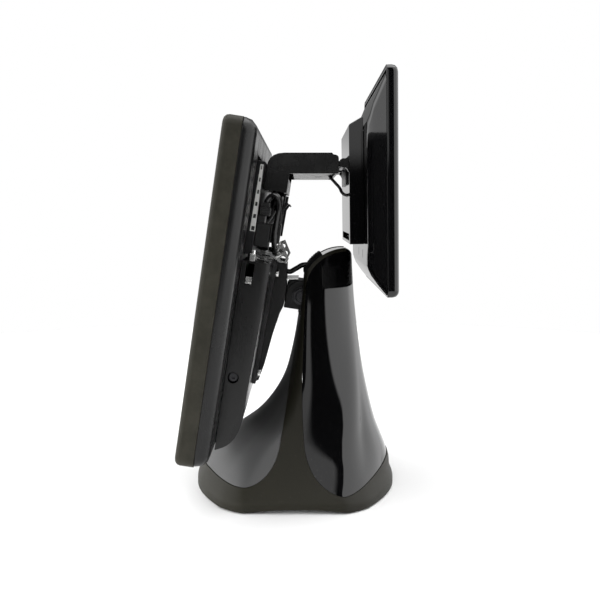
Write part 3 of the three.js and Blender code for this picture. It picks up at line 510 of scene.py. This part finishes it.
def round_edges(bm, width, segments=2, angle=33.0, edges=None):
    """Rounds the hard edges of a bmesh, or the edges given."""
    if edges is None:
        edges = [e for e in bm.edges if e.is_manifold and e.calc_face_angle(0) > math.radians(angle)]
    bmesh.ops.bevel(
        bm, geom=edges, offset=width, offset_type="OFFSET", segments=segments, profile=0.5,
        affect="EDGES", material=-1, clamp_overlap=True,
    )


def welded(node):
    """A copy of a frame solid in millimetres, with its flat faces whole."""
    bm = bmesh.new()
    bm.from_mesh(frame["nodes"][node].data)
    bmesh.ops.remove_doubles(bm, verts=bm.verts, dist=WELD)
    bmesh.ops.dissolve_limit(bm, angle_limit=FLAT_ANGLE, verts=bm.verts, edges=bm.edges)
    bmesh.ops.scale(bm, vec=(1000, 1000, 1000), verts=bm.verts)
    return bm


def dress(node, material, width, segments):
    """A welded copy of a frame solid with its hard edges rounded, which then stands for it."""
    bm = welded(node)
    round_edges(bm, width, segments)
    return publish(bm, f"{node}_piece", body_of_node[node], material, [node])


# %% [markdown]
# ## Covers, castings and fasteners
#
# These pieces keep the frame's shape and take a rounding that suits how they are made: nearly a millimetre
# on the big mouldings, half of one on castings, and a tenth or two on stamped sheet and turned parts.

# %% Dress the frame's solids
roundings = {
    "front_bezel": (charcoal, 0.7, 3), "rear_shell": (satin, 0.6, 2), "rear_housing": (satin, 0.6, 2),
    "chassis_tray": (blacked, 0.4, 2), "tilt_bracket": (casting, 0.8, 2), "neck_block": (casting, 0.9, 3),
    "gusset_plate": (nickel, 0.2, 1), "hinge_fork": (casting, 0.5, 2), "arm_body": (satin, 0.6, 2),
    "arm_cover": (satin, 0.3, 2), "port_block_left": (sheet, 0.3, 2),
    "power_plug": (nylon, 0.7, 3), "cable_header": (nylon, 0.3, 2), "heat_sink": (sheet, 0.2, 1),
    "storage_drive": (sheet, 0.5, 2), "speaker": (nylon, 0.5, 2), "mainboard": (board, 0.1, 1),
    "customer_bezel": (piano, 0.5, 3), "customer_shell": (piano, 0.7, 3),
    "customer_hinge_leaf": (blacked, 0.2, 1), "customer_lcd": (module, 0.4, 2), "lcd_panel": (module, 0.4, 2),
    "customer_board": (board, 0.1, 1), "customer_glass": (rear_glass, 0.3, 2),
    "touch_glass": (main_glass, 0.3, 2),
    "customer_hinge_pin": (blacked, 0.2, 2), "power_button": (piano, 0.3, 2), "base_plate": (zinc, 0.5, 2),
    "stand_column": (zinc, 0.4, 2), "hinge_shaft": (blacked, 0.4, 2), "base_socket": (nylon, 0.4, 2),
}
for node, (material, width, segments) in roundings.items():
    dress(node, material, width, segments)
small = [n for n in frame["nodes"] if any(k in n for k in ("screw", "stud", "nut", "washer", "foot"))]
for node in small:
    dark = any(k in node for k in ("side_screw", "nut", "washer"))
    dress(node, rubber if "foot" in node else blacked if dark else nickel, 0.25, 2)
print(len(roundings) + len(small), "frame solids dressed")

# %% [markdown]
# ## The customer display's box and hinge covers
#
# The box behind the customer display has a generous roll along its upper edges and a tight one elsewhere,
# so the two are rounded one after the other. At each end of the hinge a small cover flares from a barrel
# into the face of the box. It is drawn as a side outline and carried a few millimetres across.

# %% Customer box and hinge covers
BOX_TOP_FROM, BOX_SIDE_FROM = 359.5, 74
bm = welded("customer_box")
outer_top = [
    e for e in bm.edges
    if e.is_manifold and e.calc_face_angle(0) > math.radians(20)
    and min(v.co.z for v in e.verts) > BOX_TOP_FROM and max(abs(v.co.x) for v in e.verts) > BOX_SIDE_FROM
]
round_edges(bm, 2.2, 5, edges=outer_top)
round_edges(bm, 0.6, 3)
publish(bm, "customer_box_piece", "customer_display", piano, ["customer_box"])


def carried_across(points, x0, x1):
    """A bmesh of an outline in the side view, carried from x0 to x1."""
    bm = bmesh.new()
    face = bm.faces.new([bm.verts.new((x0, p[0], p[1])) for p in points])
    grown = bmesh.ops.extrude_face_region(bm, geom=[face])["geom"]
    bmesh.ops.translate(
        bm, vec=(x1 - x0, 0, 0), verts=[v for v in grown if isinstance(v, bmesh.types.BMVert)],
    )
    bmesh.ops.recalc_face_normals(bm, faces=bm.faces)
    return bm


barrel = [(4.4 * math.cos(math.radians(a)), 4.4 * math.sin(math.radians(a))) for a in range(70, 291, 10)]
flare = barrel + [(3.2, -5.6), (4.8, -8.4), (4.8, 7.0), (3.2, 5.2)]
for side, (x0, x1) in {"left": (-74.4, -63.6), "right": (63.6, 74.4)}.items():
    bm = carried_across(flare, x0, x1)
    round_edges(bm, 0.5, 2, 45)
    publish(bm, f"hinge_cover_{side}", "customer_display", satin, place=CUSTOMER)
print("customer box and hinge covers made")

# %% [markdown]
# ## The connector bay
#
# Behind the screen, between the housing and the arm, the terminal is open: plugs stand in a block, their
# leads turn back on themselves, a perforated metal rail edges the tray, and a spring wire holds the cover.
# None of this is large, but it is the only busy part of the machine, so each item gets its own small mesh.
# The harness leads and the duct behind them are a guess at what makes the bay dark all the way through.


# %% Small shapes
def add_block(bm, x0, x1, y0, y1, z0, z1):
    middle = Vector(((x0 + x1) / 2, (y0 + y1) / 2, (z0 + z1) / 2))
    size = Matrix.Diagonal((x1 - x0, y1 - y0, z1 - z0, 1))
    return bmesh.ops.create_cube(bm, size=1, matrix=Matrix.Translation(middle) @ size)["verts"]


def add_rod(bm, start, end, radius, segments=24):
    along = Vector(end) - Vector(start)
    turn = along.to_track_quat("Z", "Y").to_matrix().to_4x4()
    bmesh.ops.create_cone(
        bm, cap_ends=True, segments=segments, radius1=radius, radius2=radius,
        depth=along.length, matrix=Matrix.Translation((Vector(start) + Vector(end)) / 2) @ turn,
    )


def tube_mesh(name, route, radius, material):
    """A round tube on a smooth curve, as a closed mesh in metres, and its length."""
    curve = bpy.data.curves.new(name, "CURVE")
    curve.dimensions = "3D"
    curve.bevel_depth = radius * MM
    curve.bevel_resolution = 5
    curve.use_fill_caps = True
    curve.resolution_u = 6
    spline = curve.splines.new("BEZIER")
    spline.bezier_points.add(len(route) - 1)
    for point, where in zip(spline.bezier_points, route):
        point.co = Vector(where) * MM
        point.handle_left_type = point.handle_right_type = "AUTO"
    drawn = bpy.data.objects.new(name + "_path", curve)
    scene.collection.objects.link(drawn)
    length = spline.calc_length()
    mesh = bpy.data.meshes.new_from_object(drawn.evaluated_get(bpy.context.evaluated_depsgraph_get()))
    bpy.data.objects.remove(drawn)
    bm = bmesh.new()
    bm.from_mesh(mesh)
    bmesh.ops.remove_doubles(bm, verts=bm.verts, dist=1e-6)
    bmesh.ops.recalc_face_normals(bm, faces=bm.faces)
    bm.to_mesh(mesh)
    bm.free()
    mesh.materials.clear()
    mesh.materials.append(material)
    mesh.shade_smooth()
    return mesh, length


def fixed_tube(name, route, radius, material, body="terminal", place=None):
    """A tube that one body holds all the way; its route is given in the screen's own frame."""
    if place is not None:
        route = [place @ (Vector(p) * MM) / MM for p in route]
    mesh, length = tube_mesh(name, route, radius, material)
    piece = bpy.data.objects.new(name, mesh)
    scene.collection.objects.link(piece)
    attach(piece, body)
    return length


# %% Port block and plugs
bm = bmesh.new()
add_block(bm, 64, 104, 36.1, 48.8, 186, 207)
add_block(bm, 66, 102, 36.1, 42.5, 207, 214)
round_edges(bm, 0.5, 2)
publish(bm, "port_block_body", "terminal", nylon, ["port_block_right"], place=SCREEN)
for i, x in enumerate((77, 94)):
    bm = bmesh.new()
    add_block(bm, x - 5.6, x + 5.6, 37, 45.8, 214.2, 222)
    add_block(bm, x - 4.4, x + 4.4, 38.2, 44.6, 222.2, 226)
    for row in range(3):
        add_block(bm, x - 5.9, x + 5.9, 36.7, 46.1, 215.4 + 2.1 * row, 216.3 + 2.1 * row)
    round_edges(bm, 0.3, 2)
    publish(bm, f"bay_plug_{i + 1}", "terminal", nylon, place=SCREEN)
bay_leads = {
    "bay_lead_outer": (2.6, [
        (94, 41.4, 224), (94.5, 42.5, 229), (96, 46.5, 233), (98, 51, 231), (98.5, 53.5, 224),
        (97, 53.6, 214), (94, 53.2, 205), (90, 53.2, 196), (82, 54, 187), (72, 55.5, 180),
    ]),
    "bay_lead_inner": (2.3, [
        (77, 41.4, 224), (77.5, 42.6, 230), (80, 46, 234), (85, 50, 234.2), (88.5, 52.8, 230),
        (90, 54, 222), (89.4, 54.6, 212), (90.2, 54.4, 206),
    ]),
    "bay_lead_power": (2.5, [
        (78, 53.6, 216), (78, 54.2, 222), (76, 55, 229), (71, 55, 234), (64, 53, 235.4),
    ]),
}
for i, x in enumerate((54, 38, 22, -22, -38, -54)):
    lean = (0.0, 3.5, 1.5, 5.0)[i % 4]
    bay_leads[f"bay_harness_{i + 1}"] = (3.1, [
        (x, 39.5, 203), (x + 1, 42 + lean, 209), (x + 3, 46 + lean, 217), (x + 2, 48 + 0.6 * lean, 227),
        (x - 2, 47, 235.8),
    ])
for name, (radius, route) in bay_leads.items():
    length = fixed_tube(name, route, radius, jacket, place=SCREEN)
    print(name, round(length * 1000), "mm")

# %% Rails, guides, wire and clips
for side, sign in {"left": -1, "right": 1}.items():
    bm = bmesh.new()
    bmesh.ops.create_grid(bm, x_segments=1, y_segments=11, size=0.5)
    bmesh.ops.scale(bm, vec=(4.8, 60, 1), verts=bm.verts)
    for vert in bm.verts:
        vert.co.x *= 0.78 - 0.22 * vert.co.y / 30
    cells = [face for i, face in enumerate(bm.faces) if i % 2 == (side == "left")]
    bmesh.ops.inset_individual(bm, faces=cells, thickness=1.3)
    bmesh.ops.delete(bm, geom=cells, context="FACES")
    bmesh.ops.solidify(bm, geom=bm.faces[:], thickness=0.7)
    upright = Matrix.Rotation(math.radians(90), 4, "X") @ Matrix.Rotation(math.radians(90), 4, "Y")
    stand_up = Matrix.Translation((sign * 110.9, 33.4, 229)) @ upright
    bmesh.ops.transform(bm, matrix=stand_up, verts=bm.verts)
    bmesh.ops.recalc_face_normals(bm, faces=bm.faces)
    publish(bm, f"tray_rail_{side}", "terminal", pale_zinc, place=SCREEN)

    guide = [(53.2, 193), (57.0, 193), (57.6, 222), (60.2, 226.8), (61.6, 225.9), (62.2, 227.1), (60, 229.4),
             (57.6, 227), (57.8, 237.2), (54.2, 237.2)]
    x0, x1 = sorted((sign * 62, sign * 67))
    bm = carried_across(guide, x0, x1)
    round_edges(bm, 0.25, 1, 40)
    publish(bm, f"lead_guide_{side}", "terminal", blacked, place=SCREEN)

    bm = bmesh.new()
    add_block(bm, *sorted((sign * 124.4, sign * 128.8)), 34.4, 40.2, 153.2, 154.6)
    add_block(bm, *sorted((sign * 124.4, sign * 125.8)), 34.4, 40.2, 154.8, 159)
    round_edges(bm, 0.3, 2)
    publish(bm, f"cover_clip_{side}", "terminal", nickel, place=SCREEN)
    wire = [(sign * x, v, u) for x, v, u in (
        (121, 33.5, 176), (122.6, 37.5, 177.4), (120, 42.5, 176.2), (110, 46, 175.2),
        (90, 48, 175), (74, 50.5, 175.2), (62, 56.5, 176), (60.6, 61.5, 179.5),
    )]
    fixed_tube(f"cover_wire_{side}", wire, 0.55, nickel, place=SCREEN)

RIB_SIDES, RIB_REACH, LEAD_ROOM, RIB_RADIUS = 16, 19.4, 3.6, 2.3
bm = bmesh.new()
for i in range(9):
    add_rod(bm, (-RIB_REACH, 0, 0), (-LEAD_ROOM, 0, 0), RIB_RADIUS, segments=RIB_SIDES)
    add_rod(bm, (LEAD_ROOM, 0, 0), (RIB_REACH, 0, 0), RIB_RADIUS, segments=RIB_SIDES)
    newest = bm.verts[-4 * RIB_SIDES:]
    angle = math.radians(154 - 3.6 * i)
    at = (0, 50 + 43.9 * math.cos(angle), 202 + 42.9 * math.sin(angle))
    bmesh.ops.translate(bm, vec=at, verts=newest)
round_edges(bm, 0.9, 3, 60)
publish(bm, "grommet_ribs", "stand", rubber)
bm = bmesh.new()
add_block(bm, -14, 14, 39, 52, 190.8, 236)
round_edges(bm, 1.2, 3)
publish(bm, "bay_duct", "terminal", nylon, place=SCREEN)
bm = bmesh.new()
add_block(bm, -22.2, 22.2, -10.5, 3.5, 212.4, 213.3)
round_edges(bm, 0.3, 2)
publish(bm, "neck_top_plate", "terminal", nickel)
bm = bmesh.new()
bmesh.ops.create_uvsphere(bm, u_segments=24, v_segments=12, radius=1.3)
bmesh.ops.scale(bm, vec=(1.6, 0.5, 1), verts=bm.verts)
bmesh.ops.translate(bm, vec=(0, 0.25, 16), verts=bm.verts)
publish(bm, "power_lamp", "terminal", power_lamp, place=SCREEN)
print("bay, ribs and lamp made")

# %% [markdown]
# ## The stand
#
# The stand is a tall saddle: a matte frame with ribs up both sides, and a polished panel let in at the
# front and at the back. Its plan runs from a wide rounded square at the table to a slim head, so it can be
# drawn as one ring of points that changes with height. The rings are bridged into an outer and an inner
# wall, and the matte frame and the polished panels are cut from that one skin with side-view cutters. This
# way the panels meet the saddle with an even gap along their edges. The levels are evened out and the rear
# half rounds off over a longer height than the solids do, so these pieces lie a little off their solids.

# %% The stand's levels
# Height, reach to the front, reach to the rear, half-width, corner drop, corner radius.
STAND_LEVELS = [
    (1.2, 102.4, 102.4, 111, 48, 16), (8, 102.5, 102.5, 111, 48, 16), (17, 100, 98.8, 104, 46, 18),
    (26, 96.5, 98.6, 96.5, 43, 20), (36, 89.5, 96.8, 88, 39, 22), (46, 79, 92, 81, 35, 24),
    (56, 64.5, 87.5, 75.5, 30, 24), (63, 52, 84.8, 71.5, 26, 24), (69, 43, 83, 68.6, 23, 24),
    (76, 35, 81, 66, 20, 24), (84, 28.5, 79, 63, 18, 23), (93, 22.5, 77, 60, 16, 22),
    (106, 12.5, 73.8, 56.4, 12, 18), (122, 5.6, 70.4, 53, 9, 15), (150, 0.5, 65.6, 48.5, 5, 10),
    (180, -3.5, 62, 45, 3, 7), (203, -7, 60, 43, 2.5, 6), (250, -10, 58, 41, 2.5, 6),
]


ROUND_OFF_FROM, ROUND_OFF_OVER, EVEN_ROUNDS = 40, 160, 30


def smooth_levels(step):
    """The levels with more between them, on a curve that never passes its neighbours, then evened out."""
    rows, last = [], len(STAND_LEVELS) - 1
    for i in range(last):
        near = [STAND_LEVELS[min(max(i + k, 0), last)] for k in (-1, 0, 1, 2)]
        for part in range(step):
            t = part / step
            row = []
            for a, b, c, d in zip(*near):
                value = b + 0.5 * t * (c - a + t * (2 * a - 5 * b + 4 * c - d + t * (3 * (b - c) + d - a)))
                row.append(min(max(value, min(b, c)), max(b, c)))
            rows.append(row)
    rows.append(list(STAND_LEVELS[-1]))
    for _ in range(EVEN_ROUNDS):
        for i in range(3 * step, len(rows) - 1):
            low, here, high = rows[i - 1:i + 2]
            share = (here[0] - low[0]) / (high[0] - low[0])
            for k in range(1, 6):
                here[k] += 0.5 * (low[k] * (1 - share) + high[k] * share - here[k])
    return rows


def draw(start, *strokes, steps=10):
    """Points of an outline: a stroke is an end point, or a bend point and an end point."""
    points = [Vector(start)]
    for stroke in strokes:
        if isinstance(stroke[0], (int, float)):
            points.append(Vector(stroke))
            continue
        here, bend, end = points[-1], Vector(stroke[0]), Vector(stroke[1])
        for i in range(1, steps + 1):
            t = i / steps
            points.append(here * (1 - t) ** 2 + bend * 2 * t * (1 - t) + end * t * t)
    return points


def section(level, inset):
    """The plan at one level. Higher up, its rear half swings in from the side ribs as half an ellipse."""
    z, front, rear, half, drop, corner = level
    w, f, r = half - inset, inset - front, rear - inset
    low, high = f + drop, r - drop
    half_ring = draw(
        (w, low + 0.6 * corner), ((w, (low + high) / 2), (w, high - 0.6 * corner)),
        ((w, high), (w - corner, high + 0.34 * drop)), ((0.42 * w, r), (0, r)), steps=12,
    )
    front_part = draw(
        (0, f), ((0.42 * w, f), (w - corner, low - 0.34 * drop)), ((w, low), (w, low + 0.6 * corner)),
        steps=12,
    )
    right = front_part[:-1] + half_ring
    start, rise = low + 0.6 * corner, min(max((z - ROUND_OFF_FROM) / ROUND_OFF_OVER, 0), 1)
    swing = rise * (2 - rise)
    for p in right:
        back = max(0, p.y - start) / (r - start)
        if back > 0:
            p.x += (w * math.sqrt(max(0, 1 - back * back)) - p.x) * swing
    left = [Vector((-p.x, p.y)) for p in reversed(right[1:-1])]
    return [(p.x, p.y, z) for p in right + left]


def wall_of_rings(bm, levels, inset):
    """Bridges a ring at each level into one wall and returns its first and last rings of edges."""
    rings = []
    for level in levels:
        points = section(level, inset)
        ring = bmesh.ops.create_circle(bm, cap_ends=False, segments=len(points), radius=1)["verts"]
        for vert, point in zip(ring, points):
            vert.co = point
        rings.append(list({e for v in ring for e in v.link_edges}))
    for lower, upper in zip(rings, rings[1:]):
        bmesh.ops.bridge_loops(bm, edges=lower + upper)
    return rings[0], rings[-1]


levels = smooth_levels(4)
print(len(levels), "levels of", len(section(levels[0], 0)), "points")


# %% Skins and cutters
def into_scene(bm, name):
    """A bmesh in millimetres as a plain object, for cutting with."""
    bmesh.ops.recalc_face_normals(bm, faces=bm.faces)
    mesh = bpy.data.meshes.new(name)
    bm.to_mesh(mesh)
    bm.free()
    thing = bpy.data.objects.new(name, mesh)
    scene.collection.objects.link(thing)
    return thing


def soften(bm, rounds=3):
    """Evens out the creases of a wall without moving its rims or its heights."""
    inner = [v for v in bm.verts if not v.is_boundary]
    for _ in range(rounds):
        bmesh.ops.smooth_vert(
            bm, verts=inner, factor=0.5, use_axis_x=True, use_axis_y=True, use_axis_z=False,
        )


def stand_core(inset, past_ends=0.0):
    """The whole stand as one closed solid, moved inwards by the inset."""
    reach = [list(level) for level in levels]
    reach[0][0] -= past_ends
    reach[-1][0] += past_ends
    bm = bmesh.new()
    ends = wall_of_rings(bm, reach, inset)
    soften(bm)
    for ring in ends:
        bmesh.ops.contextual_create(bm, geom=ring)
    return into_scene(bm, "core")


def stand_skin(outside, thickness):
    return combine(stand_core(outside), stand_core(outside + thickness, 5.0))


def slice_through(points, x0=-140.0, x1=140.0):
    """An outline in the side view carried across the stand."""
    return into_scene(carried_across(points, x0, x1), "slice")


def block(x0, x1, y0, y1, z0, z1):
    return slice_through([(y0, z0), (y1, z0), (y1, z1), (y0, z1)], x0, x1)


def combine(piece, tool, how="DIFFERENCE"):
    """Cuts, joins or intersects a piece with a tool, and uses the tool up."""
    step = piece.modifiers.new("Cut", "BOOLEAN")
    step.operation = how
    step.solver = "EXACT"
    step.object = tool
    made = bpy.data.meshes.new_from_object(piece.evaluated_get(bpy.context.evaluated_depsgraph_get()))
    piece.modifiers.clear()
    piece.data = made
    bpy.data.objects.remove(tool)
    return piece


HEAD = {"y": 50, "z": 202, "reach_y": 43, "reach_z": 42, "rear_y": 9.2, "rear_z": 11}


def under_head(inset):
    """Everything below the rounded top of the head, moved inwards by the inset."""
    across, up = HEAD["reach_y"] - inset, HEAD["reach_z"] - inset
    behind, drop = HEAD["rear_y"] - inset, HEAD["rear_z"]
    points = [(-130, -10), (130, -10), (130, HEAD["z"] + up - drop)]
    for i in range(13):
        a = math.radians(90 * i / 12)
        points.append((HEAD["y"] + behind * math.cos(a), HEAD["z"] + up - drop + drop * math.sin(a)))
    for i in range(1, 37):
        a = math.radians(90 + 90 * i / 36)
        points.append((HEAD["y"] + across * math.cos(a), HEAD["z"] + up * math.sin(a)))
    return slice_through(points + [(-130, HEAD["z"])])


def front_panel_side(gap):
    return slice_through(draw(
        (-130, 26 + gap), (-84, 25 + gap), ((-58, 20 + gap), (-46, 21.4 + gap)),
        ((-22 - gap, 26), (-14.6 - gap, 52)), ((-9.5 - gap, 80), (-5.6 - gap, 108)),
        (3.1 - gap, 164), (6.2 - gap, 178 - gap), (-130, 178 - gap), steps=16,
    ))


def rear_panel_side(gap):
    return slice_through(draw(
        (130, 34 + gap), (98, 33 + gap), ((62, 14 + gap), (46, 14.4 + gap)),
        ((16 + gap, 20), (9.5 + gap, 52)), ((7 + gap, 75), (7 + gap, 110)),
        (9.2 + gap, 178), (10.6 + gap, 202), (10.6 + gap, 300), (130, 300), steps=16,
    ))


def finished(thing, name, material, node, body="stand"):
    """Turns a cut shape in millimetres into the piece that stands for a frame node."""
    bm = bmesh.new()
    bm.from_mesh(thing.data)
    bpy.data.objects.remove(thing)
    bmesh.ops.remove_doubles(bm, verts=bm.verts, dist=0.002)
    return publish(bm, name, body, material, [node])


# %% Cut the saddle and its panels
RIM, RIM_END, FIT = 3.4, 51.0, 0.3
rear_region = combine(
    rear_panel_side(0), combine(under_head(RIM), block(-141, 141, RIM_END, 141, 150, 262), "UNION"),
    "INTERSECT",
)
saddle = combine(stand_skin(0, 3), under_head(0), "INTERSECT")
saddle = combine(saddle, front_panel_side(0))
saddle = combine(saddle, rear_region)
saddle = combine(saddle, block(-36.5, 36.5, -30, 22, 178, 260))
arch = draw((-48, -2), (52, -2), (52, 1.1), ((2, 7.2), (-48, 1.1)), steps=16)
saddle = combine(saddle, slice_through(arch))
outlet = bmesh.new()
bmesh.ops.create_cone(
    outlet, cap_ends=True, segments=32, radius1=9, radius2=9, depth=50,
    matrix=Matrix.Translation((0, 95, 0)) @ Matrix.Rotation(math.radians(90), 4, "X"),
)
saddle = combine(saddle, into_scene(outlet, "outlet"))
finished(saddle, "saddle_frame", charcoal, "stand_saddle")

front_panel = combine(stand_skin(0.7, 2.2), front_panel_side(FIT), "INTERSECT")
# The front panel's dark grey base colour is partly painted sheen over a soft-gloss black.
finished(front_panel, "front_tongue_panel", painted_sheen_black, "front_panel")

rear_keep = combine(under_head(0.5), block(-141, 141, RIM_END + FIT, 141, 150, 262), "INTERSECT")
rear_keep = combine(rear_keep, under_head(RIM + FIT), "UNION")
rear_panel = combine(
    stand_skin(0.7, 2.2), combine(rear_panel_side(FIT), rear_keep, "INTERSECT"), "INTERSECT",
)
rear_panel = combine(rear_panel, block(-36.5, 36.5, -30, 22, 178, 260))
finished(rear_panel, "rear_tongue_panel", piano, "rear_panel")

cap = combine(under_head(0.5), under_head(3.1))
cap = combine(cap, block(-139, 139, -139, 139, -20, 206))
cap = combine(cap, block(-29, 29, -30, 22, 170, 214.5))
cap = combine(cap, block(-20.3, 20.3, -30, 26.3, 200, 260))
cap = combine(cap, stand_core(3.3), "INTERSECT")
finished(cap, "head_cover", piano, "head_cap")

grommet = combine(combine(under_head(-0.9), under_head(4)), block(-20, 20, 9, 26, 214.8, 260), "INTERSECT")
grommet = combine(grommet, block(-13, 13, 7, 22.5, 200, 236.5))
finished(grommet, "lead_grommet", rubber, "cable_grommet")

# %% [markdown]
# ## The leads
#
# One lead crosses the main hinge and one crosses the hinge of the customer display. Each is a round tube on a
# smooth curve, long enough to bend as its hinge moves. Each is drawn once in its resting shape and rides on
# no body.


# %% Leads across the hinges
def lead(name, route, radius, material, node):
    """A round lead on a smooth curve, in its resting shape, which stands for a frame node."""
    mesh, length = tube_mesh(name, route, radius, material)
    piece = bpy.data.objects.new(name, mesh)
    scene.collection.objects.link(piece)
    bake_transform(piece)
    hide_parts(node)
    print(name, "is", round(length * 1000), "mm long")
    return piece


def from_screen(v, u, x=0.0):
    return tuple(SCREEN @ (Vector((x, v, u)) * MM) / MM)


neck_route = [
    from_screen(46.4, 180), from_screen(51, 179.6), from_screen(57, 174.5), from_screen(63, 165),
    from_screen(70, 160),
]
neck_route += [(0, y, z) for y, z in (
    (1, 222), (8, 225.6), (16, 225), (23, 219), (28.5, 208), (31.5, 194), (33, 178), (34, 150), (34, 110),
    (34, 70), (35, 42), (39, 30), (48, 22.5), (57, 19.6), (65.7, 19),
)]
lead(
    "neck_lead", neck_route, 2.6, jacket, "neck_cable",
)
arm_route = [(30, y, z) for y, z in (
    (6, 325), (18, 324.6), (27, 322.4), (32.4, 318.4), (35.6, 313.4), (40.4, 308), (44.4, 303.4),
    (46.2, 299.6), (49, 297.1), (53.4, 296.4), (58, 296.2),
)]
lead(
    "arm_lead", arm_route, 1.5, jacket, "arm_cable",
)
